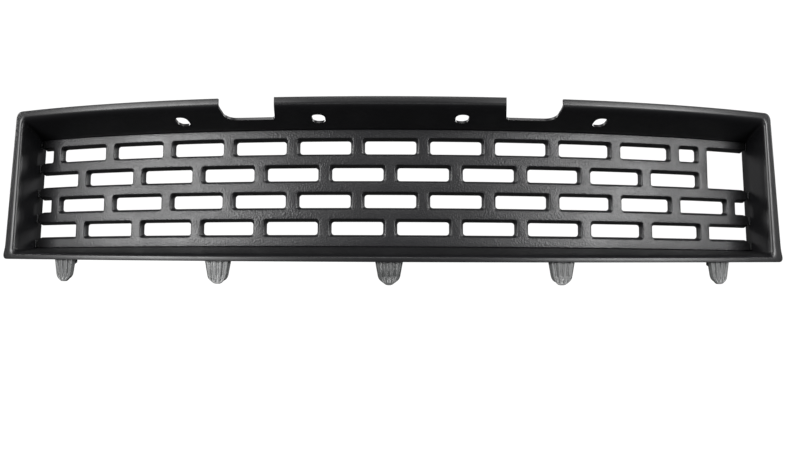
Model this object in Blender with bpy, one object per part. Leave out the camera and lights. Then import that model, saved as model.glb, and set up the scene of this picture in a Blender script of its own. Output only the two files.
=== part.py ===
# Lower front grille of a car bumper: a deep curved surround, a grille insert with staggered
# openings, the tongues that locate its lower edge, and the clips and screws that hold it together.
# Metres, +Z up, the car's nose towards -Y. The origin is on the rear face of the centre tongue.

import math

import bmesh
import bpy
from mathutils import Matrix, Vector

# Fits
GAP = 0.0003  # between pieces that touch
CLIP_PLAY = 0.0003  # between a clip's peg and its slot
SCREW_PLAY = 0.0004  # round a screw's shank

# Plan curve: the ends sit behind the middle, and the whole part leans back
SWEEP_HALF = 0.500  # half width at which the depth is given
SWEEP_DEPTH = 0.112
SWEEP_END_SHARE = 0.14  # share of the depth that comes in late, towards the ends
LEAN = 0.059  # rearward metres for each metre of height

# Grille insert
ROWS = 4
PITCH_X = 0.087
PITCH_Z = 0.036
OPENING_WIDTH = 0.074  # at the front face
OPENING_HEIGHT = 0.023
OPENING_CORNER = 0.0028
OPENING_DRAFT = 0.0029  # how far each side closes in towards the back
LOWEST_ROW_Z = 0.068  # centre of the lowest row above the origin
BORDER_TOP = 0.0115  # plain strip above the top row
BORDER_BOTTOM = 0.013  # and below the lowest
INSERT_DEPTH = 0.014
INSERT_WALL = 0.0024
END_SPACE = 0.004  # from a bar's end to the surround's side wall
LEAST_OPENING = 0.008  # a narrower opening at an end is left closed
LEAST_WINDOW = 0.045  # least width of the sensor window at the right end
WINDOW_ROWS = 2  # rows that the window takes up, from the top

# Surround
WALL = 0.003
FRAME_DEPTH = 0.060  # from the lip's front to the insert's front
HALF_WIDTH = 0.5118  # of the opening that the insert sits in, at its foot
SIDE_TAPER = 0.0033  # how much each side closes in towards the top
REAR_CORNER = 0.0015
MOUTH_FLARE_TOP = 0.005  # how far each side spreads from the insert to the front opening
MOUTH_FLARE_BOTTOM = 0.0067
MOUTH_RISE_TOP = 0.022  # above the insert's top edge
MOUTH_DROP_BOTTOM = 0.0122  # below the insert's bottom edge
MOUTH_CORNER = 0.004
LIP_TOP = 0.0115  # width of the lip on each side
LIP_BOTTOM = 0.0086
LIP_SIDE_TOP = 0.0113
LIP_SIDE_BOTTOM = 0.0167
LIP_CORNER = 0.006
LIP_SETBACK = 0.001  # the lip's edge sits behind its root
BEND = 0.006  # length of wall that the rounded bend into the lip takes
BEND_SHARE = 0.5  # share of the lip that the bend takes
BOTTOM_RISE = 0.0045  # the lower edge climbs towards the ends
FOOT_FLARE = 0.0045  # the lower corners spread outwards
FOOT_HEIGHT = 0.022

# Cut-outs and slots in the top wall
NOTCH_X = 0.1848
NOTCH_WIDTH = 0.068
NOTCH_DEPTH = 0.033  # from the lip's front
NOTCH_INNER_RADIUS = 0.004
NOTCH_OUTER_RADIUS = 0.017
NOTCH_INNER_TAPER = 0.003  # both sides open towards the front
NOTCH_OUTER_TAPER = 0.005
SLOT_OFFSET_INNER = 0.0914  # from the middle of a notch to the slot beside it, towards the centre
SLOT_OFFSET_OUTER = 0.0922  # and towards the end
SLOT_DEPTH = 0.0333  # from the lip's front to the slot's middle
SLOT_LENGTH = 0.0175  # along the grille
SLOT_WIDTH = 0.0216  # down the wall
SLOT_CORNER = 0.0075
SEAT_LENGTH = 0.036  # flat seat round each slot, on the wall's upper side
SEAT_WIDTH = 0.034
SEAT_RAISE = 0.0004
SEAT_CORNER = 0.003

# Locating tongues under the bottom lip
TONGUE_COUNT = 5
TONGUE_END_MARGIN = 0.0968  # from the outer tongues' middle to the lip's lower corner
TONGUE_WIDTH = 0.035
TONGUE_TIP_WIDTH = 0.022
TONGUE_LENGTH = 0.0287
TONGUE_TIP_ROUND = 0.008
TONGUE_PLATE = 0.0028
TONGUE_PLAY = 0.0007  # between the plate and the back of the lip
FLUTE_COUNT = 3
FLUTE_WIDTH = 0.0028
FLUTE_DEPTH = 0.0018
FLUTE_END = 0.004  # plain strip left at the tip
TENON_WIDTH = 0.022
TENON_DEPTH = 0.010
TENON_HEIGHT = 0.0045
SHOULDER_HEIGHT = 0.005
SOCKET_WALL = 0.002

# Clips between the bars' ends and the side walls
CLIP_INSET = 0.001  # between a plate's ends and the bar's upper and lower faces
CLIP_DEPTH = 0.010
CLIP_PLATE = 0.0020
CLIP_SETBACK = 0.0015  # behind the insert's front face
PEG_SHARE = 0.61  # height of a peg, as a share of the room inside a bar
PEG_DEPTH = 0.004
BARB_LENGTH = 0.002
BARB_SHARE = 0.32  # a barb's overhang, as a share of half a peg's height
LEDGE_DEPTH = 0.006  # rests behind the bars' ends
LEDGE_REACH = 0.011

# Screws through the insert's ears into bosses on the surround
SCREWS_PER_EDGE = 4
SCREW_END_MARGIN = 0.105  # from the outer screws to the insert's end
SCREW_LENGTH = 0.013
SCREW_RADIUS = 0.002
SCREW_HEAD_RADIUS = 0.0043
SCREW_HEAD_HEIGHT = 0.0028
EAR_WIDTH = 0.015
EAR_THICKNESS = 0.0035
BOSS_HEIGHT = 0.012
BOSS_LENGTH = 0.010
BOSS_SINK = 0.4  # share of the wall that a boss reaches into

# Facets
LONG_STEPS = 40  # along the top and the bottom
SHORT_STEPS = 5  # along each side
CORNER_STEPS = 3
BEND_STEPS = 3
ARC_STEPS = 6
HOLE_SIDES = 16
DOME_STEPS = 4  # over a screw's head
SHARP_ANGLE = 40

# Heights, half widths and depths that follow
INSERT_BOTTOM_Z = LOWEST_ROW_Z - OPENING_HEIGHT / 2 - BORDER_BOTTOM
INSERT_TOP_Z = LOWEST_ROW_Z + (ROWS - 1) * PITCH_Z + OPENING_HEIGHT / 2 + BORDER_TOP
REAR_TOP_Z = INSERT_TOP_Z + GAP
REAR_BOTTOM_Z = INSERT_BOTTOM_Z - GAP
REAR_HALF_BOTTOM = HALF_WIDTH
REAR_HALF_TOP = HALF_WIDTH - SIDE_TAPER
MOUTH_TOP_Z = REAR_TOP_Z + MOUTH_RISE_TOP
MOUTH_BOTTOM_Z = REAR_BOTTOM_Z - MOUTH_DROP_BOTTOM
LIP_TOP_Z = MOUTH_TOP_Z + LIP_TOP
LIP_BOTTOM_Z = MOUTH_BOTTOM_Z - LIP_BOTTOM
MOUTH_HALF_BOTTOM = REAR_HALF_BOTTOM + MOUTH_FLARE_BOTTOM
MOUTH_HALF_TOP = REAR_HALF_TOP + MOUTH_FLARE_TOP
LIP_HALF_TOP = MOUTH_HALF_TOP + LIP_SIDE_TOP
LIP_HALF_BOTTOM = MOUTH_HALF_BOTTOM + LIP_SIDE_BOTTOM
INSERT_BACK = FRAME_DEPTH + INSERT_DEPTH
TONGUE_FRONT = WALL + LIP_SETBACK + TONGUE_PLAY
TONGUE_BACK = TONGUE_FRONT + FLUTE_DEPTH + TONGUE_PLATE
DATUM_DEPTH = TONGUE_BACK + LEAN * LIP_BOTTOM_Z  # brings the centre tongue's rear face to y = 0
HALF_BAR = (PITCH_Z - OPENING_HEIGHT) / 2
HALF_PEG = PEG_SHARE * (HALF_BAR - INSERT_WALL)
BARB_OVERHANG = BARB_SHARE * HALF_PEG


def sweep(x):
    u = x / SWEEP_HALF
    return SWEEP_DEPTH * ((1 - SWEEP_END_SHARE) * u**2 + SWEEP_END_SHARE * u**4)


def sweep_slope(x):
    u = x / SWEEP_HALF
    late = 4 * SWEEP_END_SHARE * u**3
    return SWEEP_DEPTH * (2 * (1 - SWEEP_END_SHARE) * u + late) / SWEEP_HALF


def bent(x, depth, z):
    """The point at this depth behind the lip's front, on the curved and leaning part."""
    return Vector((x, depth - DATUM_DEPTH + sweep(x) + LEAN * z, z))


def ledge_start():
    """Depth of the ledges' front face, clear of the square back edge of a bar's mitred end wall."""
    edge_width = 2 * INSERT_WALL
    return INSERT_BACK + GAP + edge_width * sweep_slope(REAR_HALF_BOTTOM)


def surround_back():
    return ledge_start() + LEDGE_DEPTH


def side_x(z):
    """Half width of the insert's opening at this height."""
    share = (z - REAR_BOTTOM_Z) / (REAR_TOP_Z - REAR_BOTTOM_Z)
    return REAR_HALF_BOTTOM + share * (REAR_HALF_TOP - REAR_HALF_BOTTOM)


def at_end(side, inset, depth, z):
    """A point that far inside the side wall, on the left (-1) or the right (1)."""
    return bent(side * (side_x(z) - inset), depth, z)


def beside_wall(side):
    """Places a block by its inset from a side wall, its depth and its height."""
    return lambda inset, depth, z: at_end(side, inset, depth, z)


def bottom_rise(x):
    return BOTTOM_RISE * (x / LIP_HALF_BOTTOM) ** 2


def turned(x):
    """Turns a piece's own axes to the plan curve at x."""
    return Matrix.Rotation(math.atan(sweep_slope(x)), 4, "Z")


def material(name, color, roughness, metallic=0.0):
    made = bpy.data.materials.new(name)
    made.use_nodes = True
    shader = made.node_tree.nodes["Principled BSDF"]
    shader.inputs["Base Color"].default_value = (*color, 1)
    shader.inputs["Roughness"].default_value = roughness
    shader.inputs["Metallic"].default_value = metallic
    made.diffuse_color = (*color, 1)
    return made


def add_object(name, bm, finish=None):
    mesh = bpy.data.meshes.new(name)
    bmesh.ops.recalc_face_normals(bm, faces=bm.faces)
    bm.to_mesh(mesh)
    bm.free()
    obj = bpy.data.objects.new(name, mesh)
    bpy.context.scene.collection.objects.link(obj)
    if finish:
        mesh.materials.append(finish)
    return obj


def add_helper(name, bm):
    """A body that is joined to a piece or cut from it, and isn't a piece itself."""
    obj = add_object(name, bm)
    obj.hide_render = True
    obj.display_type = "WIRE"
    return obj


def face_visible_side(obj, direction):
    """Turns an open sheet so that its first face looks along direction."""
    if obj.data.polygons[0].normal.dot(Vector(direction)) < 0:
        obj.data.flip_normals()


def add_boolean(obj, helper, operation):
    modifier = obj.modifiers.new(helper.name, "BOOLEAN")
    modifier.operation = operation
    modifier.object = helper
    modifier.solver = "EXACT"


def add_wall(obj, thickness):
    modifier = obj.modifiers.new("wall", "SOLIDIFY")
    modifier.thickness = thickness
    modifier.offset = -1
    modifier.use_even_offset = True


def loft(bm, rings):
    """One closed body through rings of points, all of the same length."""
    made = [[bm.verts.new(point) for point in ring] for ring in rings]
    count = len(made[0])
    for first, second in zip(made, made[1:]):
        for i in range(count):
            bm.faces.new((first[i], first[(i + 1) % count], second[(i + 1) % count], second[i]))
    bm.faces.new(made[0])
    bm.faces.new(made[-1])


def add_block(bm, place, x_range, y_range, z_range):
    """A six-sided body whose corners go through place(x, y, z)."""
    corners = ((0, 0), (1, 0), (1, 1), (0, 1))
    loft(bm, [[place(x_range[i], y_range[j], z) for i, j in corners] for z in z_range])


def add_prism(bm, outline, place, heights):
    """An outline of (x, y) points made solid between two heights, through place(x, y, z)."""
    loft(bm, [[place(x, y, z) for x, y in outline] for z in heights])


def add_hole_cutter(bm, centre, radius, length):
    """A cylinder along Y round its centre."""
    turn = Matrix.Translation(centre) @ Matrix.Rotation(math.pi / 2, 4, "X")
    bmesh.ops.create_cone(
        bm, cap_ends=True, segments=HOLE_SIDES, radius1=radius, radius2=radius, depth=length, matrix=turn
    )


def arc(centre, radii, start, end, steps):
    """Points round part of an ellipse, angles in degrees."""
    angles = [math.radians(start + (end - start) * i / steps) for i in range(steps + 1)]
    return [(centre[0] + radii[0] * math.cos(a), centre[1] + radii[1] * math.sin(a)) for a in angles]


def rounded_rectangle(half_x, half_y, corner):
    """A closed loop of (x, y) points round the origin."""
    points = []
    for i, (x_side, y_side) in enumerate(((1, 1), (-1, 1), (-1, -1), (1, -1))):
        centre = (x_side * (half_x - corner), y_side * (half_y - corner))
        points += arc(centre, (corner, corner), 90 * i, 90 * (i + 1), ARC_STEPS)
    return points


# Where repeated pieces go


def spread(count, outermost):
    """Evenly spaced places from -outermost to outermost."""
    return [outermost * (2 * i / (count - 1) - 1) for i in range(count)]


def tongue_places():
    return spread(TONGUE_COUNT, LIP_HALF_BOTTOM - TONGUE_END_MARGIN)


def slot_places():
    offsets = (-SLOT_OFFSET_INNER, SLOT_OFFSET_OUTER)
    return [side * (NOTCH_X + offset) for side in (-1, 1) for offset in offsets]


def screw_places():
    """(edge, x) of each screw: edge is 1 along the top and -1 along the bottom."""
    across = spread(SCREWS_PER_EDGE, REAR_HALF_TOP - SCREW_END_MARGIN)
    return [(edge, x) for edge in (1, -1) for x in across]


def bar_heights():
    """Middle of the top border, of each bar and of the bottom border, from the top down."""
    bars = [LOWEST_ROW_Z + (row + 0.5) * PITCH_Z for row in reversed(range(ROWS - 1))]
    return [INSERT_TOP_Z - BORDER_TOP / 2, *bars, INSERT_BOTTOM_Z + BORDER_BOTTOM / 2]


def clip_places():
    """(side, number, height) of each clip; the bars that the window cuts off have none."""
    places = []
    for side in (-1, 1):
        heights = bar_heights()
        if side == 1:
            del heights[1:WINDOW_ROWS]
        places += [(side, number, z) for number, z in enumerate(heights, 1)]
    return places


# Grille insert


def in_row_opening(x, row):
    offset = 0 if row % 2 else PITCH_X / 2
    across = (x - offset + PITCH_X / 2) % PITCH_X - PITCH_X / 2
    return abs(across) < OPENING_WIDTH / 2


def insert_end(z):
    return side_x(z) - END_SPACE


def column_lines():
    """Every x at which an opening's side can be, between the insert's ends."""
    limit = insert_end(INSERT_TOP_Z) - LEAST_OPENING
    count = math.ceil(limit / PITCH_X) + 1
    centres = [step * PITCH_X / 2 for step in range(-2 * count, 2 * count + 1)]
    edges = {round(x + side * OPENING_WIDTH / 2, 6) for x in centres for side in (-1, 1)}
    return sorted(x for x in edges if abs(x) < limit)


def row_lines():
    """Heights of the insert's edges and of each row's lower and upper sides."""
    centres = [LOWEST_ROW_Z + row * PITCH_Z for row in range(ROWS)]
    sides = [z + side * OPENING_HEIGHT / 2 for z in centres for side in (-1, 1)]
    return [INSERT_BOTTOM_Z, *sides, INSERT_TOP_Z]


def window_start():
    """The left side of the sensor window, in line with an opening of the row at its foot."""
    row = ROWS - WINDOW_ROWS
    limit = insert_end(INSERT_TOP_Z) - LEAST_WINDOW
    lines = [x for x in column_lines() if x < limit]
    return max(x for x in lines if in_row_opening(x + GAP, row) and not in_row_opening(x - GAP, row))


def is_open(x, band):
    """Whether the front face is open at x in this band between two row lines."""
    start = window_start()
    web = PITCH_X - OPENING_WIDTH
    window_band = 2 * (ROWS - WINDOW_ROWS) + 1
    if window_band <= band < 2 * ROWS:
        if x > start:
            return True
        if x > start - web:
            return False
    return band % 2 == 1 and in_row_opening(x, band // 2)


def insert_sheet():
    """The insert's visible skin, flat: its front face, and a drafted wall back from every edge."""
    xs = column_lines()
    zs = row_lines()
    last = len(xs) + 1
    mids = [(a + b) / 2 for a, b in zip(xs, xs[1:])]
    mids = [xs[0] - LEAST_OPENING / 2, *mids, xs[-1] + LEAST_OPENING / 2]
    bands = range(len(zs) - 1)
    opened = {(i, j) for i, x in enumerate(mids) for j in bands if is_open(x, j)}

    bm = bmesh.new()
    grid = {}
    for j, z in enumerate(zs):
        line = [-insert_end(z), *xs, insert_end(z)]
        for i, x in enumerate(line):
            grid[i, j] = bm.verts.new((x, FRAME_DEPTH, z))
    for i in range(len(mids)):
        for j in bands:
            if (i, j) not in opened:
                bm.faces.new((grid[i, j], grid[i + 1, j], grid[i + 1, j + 1], grid[i, j + 1]))
    place_of = {vert: key for key, vert in grid.items()}

    edges = [edge for edge in bm.edges if edge.is_boundary]
    made = bmesh.ops.extrude_edge_only(bm, edges=edges)["geom"]
    corners = []
    for vert in [item for item in made if isinstance(item, bmesh.types.BMVert)]:
        run = next(edge for edge in vert.link_edges if edge.other_vert(vert) in place_of)
        i, j = place_of[run.other_vert(vert)]
        right = ((i, j) in opened) + ((i, j - 1) in opened)
        left = ((i - 1, j) in opened) + ((i - 1, j - 1) in opened)
        above = ((i, j) in opened) + ((i - 1, j) in opened)
        below = ((i, j - 1) in opened) + ((i - 1, j - 1) in opened)
        inwards = 0 if i in (0, last) else max(-1, min(1, right - left))
        upwards = max(-1, min(1, above - below))
        vert.co += Vector((inwards * OPENING_DRAFT, INSERT_DEPTH, upwards * OPENING_DRAFT))
        if inwards and upwards:
            corners.append(run)
    loose = [vert for vert in bm.verts if not vert.link_faces]
    bmesh.ops.delete(bm, geom=loose, context="VERTS")
    bmesh.ops.bevel(
        bm, geom=corners, offset=OPENING_CORNER, segments=1, profile=0.5, affect="EDGES", material=-1
    )
    for vert in bm.verts:
        vert.co = bent(*vert.co)
    return bm


def ear_back(edge, x):
    z = INSERT_TOP_Z if edge == 1 else INSERT_BOTTOM_Z
    return bent(x, INSERT_BACK, z).y


def screw_height(edge):
    reach = GAP + WALL + BOSS_HEIGHT / 2
    return INSERT_TOP_Z + reach if edge == 1 else INSERT_BOTTOM_Z - reach


def straight(x, y, z):
    return Vector((x, y, z))


def centred(middle, width):
    return (middle - width / 2, middle + width / 2)


def build_insert():
    finish = material("grained_black", (0.10, 0.10, 0.105), 0.55)
    insert = add_object("grille_insert", insert_sheet(), finish)
    face_visible_side(insert, (0, -1, 0))
    add_wall(insert, INSERT_WALL)

    ears = bmesh.new()
    cuts = bmesh.new()
    for edge, x in screw_places():
        rim, border = (INSERT_TOP_Z, BORDER_TOP) if edge == 1 else (INSERT_BOTTOM_Z, BORDER_BOTTOM)
        inner = rim - edge * (border + OPENING_DRAFT / 2)
        outer = rim + edge * (GAP + WALL + BOSS_HEIGHT)
        back = ear_back(edge, x)
        depths = (back - EAR_THICKNESS, back)
        add_block(ears, straight, centred(x, EAR_WIDTH), depths, sorted((inner, outer)))
        centre = (x, back, screw_height(edge))
        add_hole_cutter(cuts, centre, SCREW_RADIUS + SCREW_PLAY, 4 * EAR_THICKNESS)
    for side, _, z in clip_places():
        add_peg_slot(cuts, side, z, (END_SPACE - INSERT_WALL, END_SPACE + 2 * INSERT_WALL))
    add_boolean(insert, add_helper("insert_ears", ears), "UNION")
    add_boolean(insert, add_helper("insert_cuts", cuts), "DIFFERENCE")


# Surround


def outline(half_top, half_bottom, z_top, z_bottom, corner, rise=0.0, flare=0.0):
    """A closed loop of (x, z) with rounded corners, from the lower left round by the right."""
    posts = [(-half_bottom, z_bottom), (half_bottom, z_bottom), (half_top, z_top), (-half_top, z_top)]
    posts = [Vector(post) for post in posts]
    steps = (LONG_STEPS, SHORT_STEPS, LONG_STEPS, SHORT_STEPS)
    points = []
    for i, post in enumerate(posts):
        before = (posts[i - 1] - post).normalized() * corner
        following = posts[(i + 1) % 4]
        after = (following - post).normalized() * corner
        for step in range(CORNER_STEPS):
            t = step / CORNER_STEPS
            points.append(post + before * (1 - t) ** 2 + after * t**2)
        start = post + after
        stop = following - after
        points += [start.lerp(stop, step / steps[i]) for step in range(steps[i])]
    shaped = []
    for x, z in points:
        low = (z_top - z) / (z_top - z_bottom)
        foot = max(0.0, 1 - (z - z_bottom) / FOOT_HEIGHT)
        spread_out = 1 + flare / half_bottom * foot**2
        shaped.append(Vector((x * spread_out, z + rise * low * (x / half_bottom) ** 2)))
    return shaped


def surround_sheet():
    """The surround's visible skin: straight sleeve, flared walls, rounded bend and lip."""
    rear = outline(REAR_HALF_TOP, REAR_HALF_BOTTOM, REAR_TOP_Z, REAR_BOTTOM_Z, REAR_CORNER)
    mouth = outline(
        MOUTH_HALF_TOP, MOUTH_HALF_BOTTOM, MOUTH_TOP_Z, MOUTH_BOTTOM_Z, MOUTH_CORNER, BOTTOM_RISE
    )
    lip = outline(
        LIP_HALF_TOP, LIP_HALF_BOTTOM, LIP_TOP_Z, LIP_BOTTOM_Z, LIP_CORNER, BOTTOM_RISE, FOOT_FLARE
    )
    bm = bmesh.new()
    rows = []
    for back, front, edge in zip(rear, mouth, lip):
        on_wall = Vector((BEND, *back.lerp(front, 1 - BEND / FRAME_DEPTH)))
        root = Vector((0.0, *front))
        on_lip = Vector((BEND_SHARE * LIP_SETBACK, *front.lerp(edge, BEND_SHARE)))
        section = [Vector((surround_back(), *back)), Vector((FRAME_DEPTH, *back))]
        for step in range(BEND_STEPS + 1):
            t = step / BEND_STEPS
            section.append(on_wall * (1 - t) ** 2 + root * 2 * t * (1 - t) + on_lip * t**2)
        section.append(Vector((LIP_SETBACK, *edge)))
        rows.append([bm.verts.new(bent(x, depth, z)) for depth, x, z in section])
    for first, second in zip(rows, rows[1:] + rows[:1]):
        for i in range(len(first) - 1):
            bm.faces.new((first[i], second[i], second[i + 1], first[i + 1]))
    return bm


def top_wall_z(depth):
    """Height of the top wall's lower, visible face at this depth."""
    return REAR_TOP_Z + MOUTH_RISE_TOP * (1 - depth / FRAME_DEPTH)


def bottom_wall_z(depth):
    """Height of the bottom wall's upper, visible face at this depth."""
    return REAR_BOTTOM_Z - MOUTH_DROP_BOTTOM * (1 - depth / FRAME_DEPTH)


def seat_frame(x):
    """A slot's own axes at its middle: along the grille, down the top wall, and out of the wall."""
    along = Vector((1.0, sweep_slope(x), 0.0)).normalized()
    front = bent(x, 0.0, top_wall_z(0.0))
    back = bent(x, FRAME_DEPTH, top_wall_z(FRAME_DEPTH))
    outward = along.cross(back - front).normalized()
    axes = Matrix((along, outward.cross(along), outward)).transposed().to_4x4()
    return Matrix.Translation(bent(x, SLOT_DEPTH, top_wall_z(SLOT_DEPTH))) @ axes


def add_seat(bm, x):
    """A flat seat parallel to the wall, rooted in the wall's thickness."""
    frame = seat_frame(x)
    add_prism(
        bm,
        rounded_rectangle(SEAT_LENGTH / 2, SEAT_WIDTH / 2, SEAT_CORNER),
        lambda u, v, z: frame @ Vector((u, v, z)),
        (WALL / 2, WALL + SEAT_RAISE),
    )


def add_slot(bm, x):
    frame = seat_frame(x)
    add_prism(
        bm,
        rounded_rectangle(SLOT_LENGTH / 2, SLOT_WIDTH / 2, SLOT_CORNER),
        lambda u, v, z: frame @ Vector((u, v, z)),
        (-WALL, 2 * WALL + SEAT_RAISE),
    )


def add_notch(bm, side):
    """Cuts the lip and the front of the top wall away, wider in front and with a wide outboard radius."""
    inner = NOTCH_X - NOTCH_WIDTH / 2
    outer = NOTCH_X + NOTCH_WIDTH / 2
    front = -BEND
    points = [(inner - NOTCH_INNER_TAPER, front)]
    points += arc(
        (inner + NOTCH_INNER_RADIUS, NOTCH_DEPTH - NOTCH_INNER_RADIUS),
        (NOTCH_INNER_RADIUS, NOTCH_INNER_RADIUS),
        180,
        90,
        ARC_STEPS,
    )
    points.append(((inner + outer) / 2, NOTCH_DEPTH))
    points += arc(
        (outer - NOTCH_OUTER_RADIUS, NOTCH_DEPTH - NOTCH_OUTER_RADIUS),
        (NOTCH_OUTER_RADIUS, NOTCH_OUTER_RADIUS),
        90,
        0,
        ARC_STEPS,
    )
    points.append((outer + NOTCH_OUTER_TAPER, front))
    heights = (REAR_TOP_Z, LIP_TOP_Z + BEND)
    add_prism(bm, points, lambda x, depth, z: bent(side * x, depth, z), heights)


def socket_frame(x):
    """A tongue's own axes: at the lip's front, level with its lower edge, turned to the curve."""
    middle = bent(x, 0.0, LIP_BOTTOM_Z)
    middle.z += bottom_rise(x)
    return Matrix.Translation(middle) @ turned(x)


def shoulder_top():
    """Top of a tongue's shoulder over the lip's lower edge; the socket starts a gap above it."""
    return WALL / 2


def tenon_range():
    start = TONGUE_BACK
    return (start, start + TENON_DEPTH)


def add_socket(bm, x):
    """A block behind the lip, up into the bottom wall, that a tongue's tenon pushes into."""
    frame = socket_frame(x)
    back = tenon_range()[1] + GAP + SOCKET_WALL
    foot = shoulder_top() + GAP

    def wall_middle(depth):
        return bottom_wall_z(depth) - LIP_BOTTOM_Z - WALL / 2

    profile = [
        (WALL / 2, foot),
        (WALL / 2, LIP_BOTTOM / 2),
        (BEND, wall_middle(BEND)),
        (back, wall_middle(back)),
        (back, foot),
    ]
    half = TENON_WIDTH / 2 + GAP + SOCKET_WALL
    loft(bm, [[frame @ Vector((u, depth, z)) for depth, z in profile] for u in (-half, half)])


def add_socket_cut(bm, x):
    frame = socket_frame(x)
    start, end = tenon_range()
    half = TENON_WIDTH / 2 + GAP
    top = shoulder_top() + TENON_HEIGHT + GAP
    add_block(
        bm, lambda u, v, z: frame @ Vector((u, v, z)), (-half, half), (start - GAP, end + GAP), (-WALL, top)
    )


def add_boss(bm, edge, x):
    wall_face = REAR_TOP_Z if edge == 1 else REAR_BOTTOM_Z
    inner = wall_face + edge * (1 - BOSS_SINK) * WALL
    outer = wall_face + edge * (WALL + BOSS_HEIGHT)
    back = ear_back(edge, x) - EAR_THICKNESS
    depths = (back - GAP - BOSS_LENGTH, back)
    add_block(bm, straight, centred(x, EAR_WIDTH), depths, sorted((inner, outer)))


def add_ear_relief(bm, edge, x):
    """Room for an ear, which leaves the boss with a flat rear face a gap in front of it."""
    wall_face = REAR_TOP_Z if edge == 1 else REAR_BOTTOM_Z
    heights = sorted((wall_face - edge * WALL, wall_face + edge * (2 * WALL + BOSS_HEIGHT)))
    front = ear_back(edge, x) - EAR_THICKNESS - GAP
    add_block(bm, straight, centred(x, EAR_WIDTH + 2 * GAP), (front, front + FRAME_DEPTH), heights)


def add_ledge(bm, side, z):
    """A rest on the side wall, behind a bar's end."""
    depths = (ledge_start(), surround_back())
    low = max(z - HALF_BAR, REAR_BOTTOM_Z + GAP)
    high = min(z + HALF_BAR, REAR_TOP_Z - GAP)
    add_block(bm, beside_wall(side), (-WALL / 2, LEDGE_REACH), depths, (low, high))


def build_surround():
    finish = material("satin_black", (0.035, 0.035, 0.038), 0.42)
    surround = add_object("surround", surround_sheet(), finish)
    face_visible_side(surround, (0, 0, 1))
    add_wall(surround, WALL)

    lands = bmesh.new()
    cuts = bmesh.new()
    pilots = bmesh.new()
    for x in slot_places():
        add_seat(lands, x)
        add_slot(cuts, x)
    for side in (-1, 1):
        add_notch(cuts, side)
    for x in tongue_places():
        add_socket(lands, x)
        add_socket_cut(cuts, x)
    for edge, x in screw_places():
        add_boss(lands, edge, x)
        add_ear_relief(cuts, edge, x)
        front = ear_back(edge, x) - EAR_THICKNESS - GAP
        centre = (x, front - BOSS_LENGTH / 2, screw_height(edge))
        add_hole_cutter(pilots, centre, SCREW_RADIUS + SCREW_PLAY, 2 * BOSS_LENGTH)
    for side, _, z in clip_places():
        add_ledge(lands, side, z)
        add_peg_slot(cuts, side, z, (-2 * WALL, WALL))
    add_boolean(surround, add_helper("surround_lands", lands), "UNION")
    add_boolean(surround, add_helper("surround_cuts", cuts), "DIFFERENCE")
    add_boolean(surround, add_helper("surround_pilots", pilots), "DIFFERENCE")


# Tongues


def tongue_outline():
    """Front view of a tongue: tapered sides and a rounded tip, heights from the lip's lower edge."""
    root = TONGUE_WIDTH / 2
    tip = TONGUE_TIP_WIDTH / 2
    start = -TONGUE_LENGTH + TONGUE_TIP_ROUND
    top = shoulder_top()
    sides = [(root, 0.0), (root, top), (-root, top), (-root, 0.0)]
    return sides + arc((0, start), (tip, TONGUE_TIP_ROUND), 180, 360, 2 * ARC_STEPS)


def tongue_body():
    bm = bmesh.new()
    points = tongue_outline()
    loft(bm, [[Vector((u, depth, z)) for u, z in points] for depth in (TONGUE_FRONT, TONGUE_BACK)])
    return bm


def flute_cutter():
    bm = bmesh.new()
    pitch = TONGUE_WIDTH / (FLUTE_COUNT + 2)
    low = FLUTE_END - TONGUE_LENGTH
    for i in range(FLUTE_COUNT):
        middle = (i - (FLUTE_COUNT - 1) / 2) * pitch
        depths = (TONGUE_FRONT - FLUTE_DEPTH, TONGUE_FRONT + FLUTE_DEPTH)
        add_block(bm, straight, centred(middle, FLUTE_WIDTH), depths, (low, shoulder_top() + WALL))
    return bm


def tenon_body():
    """The shoulder that seats under the socket, and the tenon that goes up into it."""
    bm = bmesh.new()
    start, end = tenon_range()
    half = TENON_WIDTH / 2
    top = shoulder_top()
    into_plate = start - TONGUE_PLATE / 2
    profile = [
        (into_plate, top - SHOULDER_HEIGHT - TENON_DEPTH),
        (end, top - SHOULDER_HEIGHT),
        (end, top + TENON_HEIGHT),
        (start, top + TENON_HEIGHT),
        (start, top - GAP),
        (into_plate, top - GAP),
    ]
    loft(bm, [[Vector((u, depth, z)) for depth, z in profile] for u in (-half, half)])
    return bm


def build_tongues():
    flutes = add_helper("tongue_flutes", flute_cutter())
    tenon = add_helper("tongue_tenon", tenon_body())
    source = add_object("tongue_source", tongue_body())
    add_boolean(source, tenon, "UNION")
    add_boolean(source, flutes, "DIFFERENCE")
    graph = bpy.context.evaluated_depsgraph_get()
    shape = bpy.data.meshes.new_from_object(source.evaluated_get(graph))
    for helper in (source, flutes, tenon):
        bpy.data.objects.remove(helper)
    for number, x in enumerate(tongue_places(), 1):
        mesh = shape.copy()
        mesh.materials.clear()
        mesh.materials.append(material(f"tongue_grey_{number}", (0.17, 0.17, 0.175), 0.38))
        tongue = bpy.data.objects.new(f"locating_tongue_{number}", mesh)
        bpy.context.scene.collection.objects.link(tongue)
        frame = socket_frame(x)
        tongue.location = frame.translation
        tongue.rotation_euler = frame.to_euler()
    bpy.data.meshes.remove(shape)


# Clips


def clip_middle():
    """Depth of a clip's middle behind the lip's front."""
    return FRAME_DEPTH + CLIP_SETBACK + CLIP_DEPTH / 2


def add_peg_slot(bm, side, z, insets):
    half_height = HALF_PEG + CLIP_PLAY
    half_depth = PEG_DEPTH / 2 + CLIP_PLAY
    depths = (clip_middle() - half_depth, clip_middle() + half_depth)
    heights = (z - half_height, z + half_height)
    add_block(bm, beside_wall(side), insets, depths, heights)


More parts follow.
